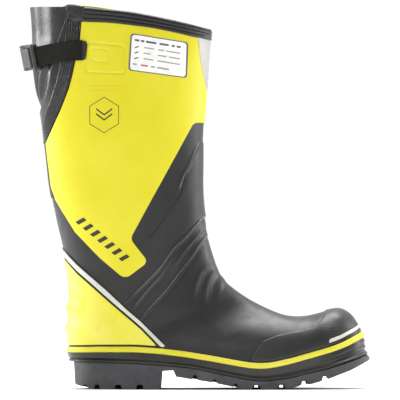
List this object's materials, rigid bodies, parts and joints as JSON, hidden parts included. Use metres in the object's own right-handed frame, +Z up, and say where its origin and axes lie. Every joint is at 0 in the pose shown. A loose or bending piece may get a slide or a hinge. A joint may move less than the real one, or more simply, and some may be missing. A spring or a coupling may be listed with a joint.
{
  "type": "fire boot",
  "caption": "Tall rubber fire-fighting boot for the right foot, with a lined leg, guarded toe, lugged sole, reflective bands and a strap with a cam-lever buckle behind the top.",
  "frame": {"origin": "on the ground, under the centre of the boot's bounding box", "axes": "+X towards the toe, +Y towards the inner side of this right boot, +Z up"},
  "size_m": [0.3504, 0.1228, 0.383],
  "materials": {
    "black_rubber": "satin, faintly dusty moulded rubber",
    "yellow_rubber": "satin signal-yellow rubber sheet",
    "sole_rubber": "matt moulded sole rubber",
    "reflective_silver": "silver retroreflective film",
    "webbing": "woven polyester webbing",
    "buckle_plastic": "satin moulded nylon",
    "steel": "pressed steel",
    "label_skin": "printed film",
    "felt": "needled felt",
    "lining_fabric": "knitted textile",
    "footbed_foam": "moulded foam under thin felt"
  },
  "bodies": {
    "boot": {"leg_shell": "black_rubber", "foot_shell": "black_rubber", "gusset": "black_rubber", "insulation": "felt", "lining": "lining_fabric", "toe_cap": "steel", "steel_midsole": "steel", "footbed": "footbed_foam", "outsole": "sole_rubber", "foxing_band": "black_rubber", "foxing_stripe": "yellow_rubber", "leg_panel": "yellow_rubber", "heel_patch": "yellow_rubber", "heel_stripe_backing": "black_rubber", "heel_stripe": "reflective_silver", "shin_guard": "black_rubber", "toe_bumper": "black_rubber", "toe_stripe": "reflective_silver", "front_reflector": "reflective_silver", "label": "label_skin", "collar_band": "black_rubber", "gusset_binding": "black_rubber", "back_stay": "black_rubber", "anchor_outer": "black_rubber", "anchor_inner": "black_rubber", "strap_outer": "webbing", "strap_inner": "webbing", "buckle_frame": "buckle_plastic", "buckle_pin": "steel"},
    "lever": {"buckle_lever": "buckle_plastic"},
    "tail": {"strap_tail": "webbing"}
  },
  "joints": [
    {"name": "buckle_lever", "type": "hinge", "parent": "boot", "child": "lever", "pos_m": [-0.16976, -0.01727, 0.32998], "axis": [0.1891, 0.0865, -0.9781], "range_deg": [0, 95]},
    {"name": "strap_tail_slide", "type": "hinge", "parent": "boot", "child": "tail", "pos_m": [-0.11938, -0.00136, 0.34112], "axis": [0.1891, 0.0865, -0.9781], "range_deg": [0, 15]}
  ]
}
